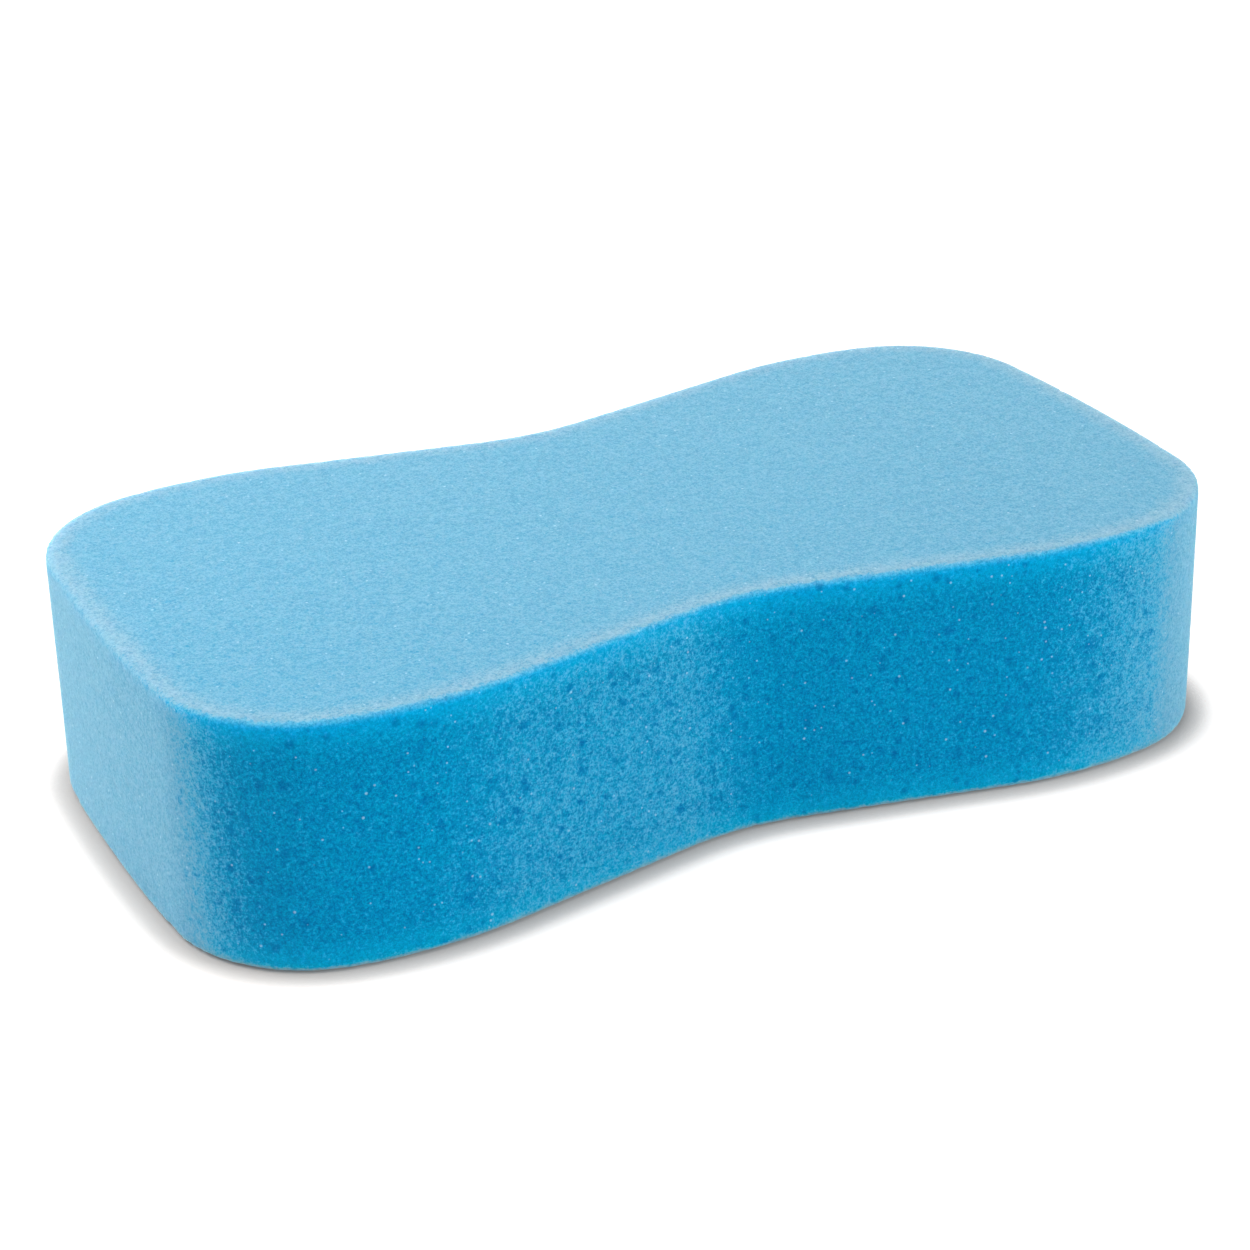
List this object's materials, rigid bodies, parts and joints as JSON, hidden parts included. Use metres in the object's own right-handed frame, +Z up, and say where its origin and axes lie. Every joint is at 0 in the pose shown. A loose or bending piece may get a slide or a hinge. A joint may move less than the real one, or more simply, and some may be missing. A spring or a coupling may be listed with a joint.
{
  "type": "cleaning sponge",
  "caption": "Waisted block of soft blue open-cell foam for washing and wiping, with rounded corners, flat faces and a narrower middle to grip.",
  "frame": {"origin": "centre of the flat underside, at the bottom of the bounding box", "axes": "+X along the length, +Y across the width, +Z up through the thickness"},
  "size_m": [0.22, 0.116, 0.05],
  "materials": {
    "foam": "soft open-cell foam, matte and slightly fuzzy"
  },
  "bodies": {
    "root": {"sponge_body": "foam"}
  },
  "joints": []
}
